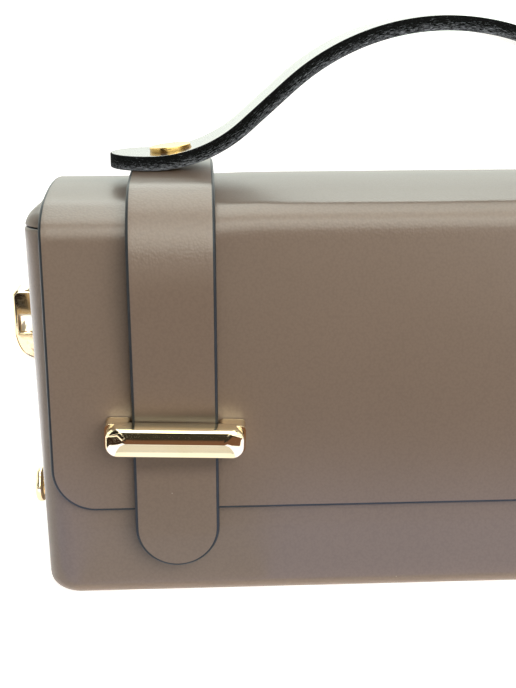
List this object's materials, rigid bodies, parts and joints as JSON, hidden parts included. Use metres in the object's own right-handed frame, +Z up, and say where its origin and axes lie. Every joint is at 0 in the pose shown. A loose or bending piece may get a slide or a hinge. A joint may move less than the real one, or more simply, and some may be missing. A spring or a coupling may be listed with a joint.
{
  "type": "leather handbag",
  "caption": "Boxy structured leather handbag with a moulded body and lid, a wrapped flap, straps under gold bar loops, an arched carrying handle and gold end fittings.",
  "frame": {"origin": "middle of the flat base, on the surface the bag stands on", "axes": "+X towards the bag's right end as seen from the front, +Y towards the back, +Z up; the front with the straps' tongues faces -Y"},
  "size_m": [0.2696, 0.0939, 0.1756],
  "materials": {
    "smooth_leather": "taupe smooth calf leather, satin, with blue-black painted edges",
    "handle_leather": "doubled taupe leather, satin, with rough near-black edges",
    "gold_plate": "pale gold plate, polished"
  },
  "bodies": {
    "root": {"body": "smooth_leather", "lid": "smooth_leather", "flap": "smooth_leather", "strap_left": "smooth_leather", "strap_right": "smooth_leather", "handle": "handle_leather", "bar_loop_left": "gold_plate", "bar_loop_right": "gold_plate", "handle_stud_left": "gold_plate", "handle_stud_right": "gold_plate", "side_loop_left": "gold_plate", "side_loop_right": "gold_plate", "side_stud_left": "gold_plate", "side_stud_right": "gold_plate"}
  },
  "joints": []
}
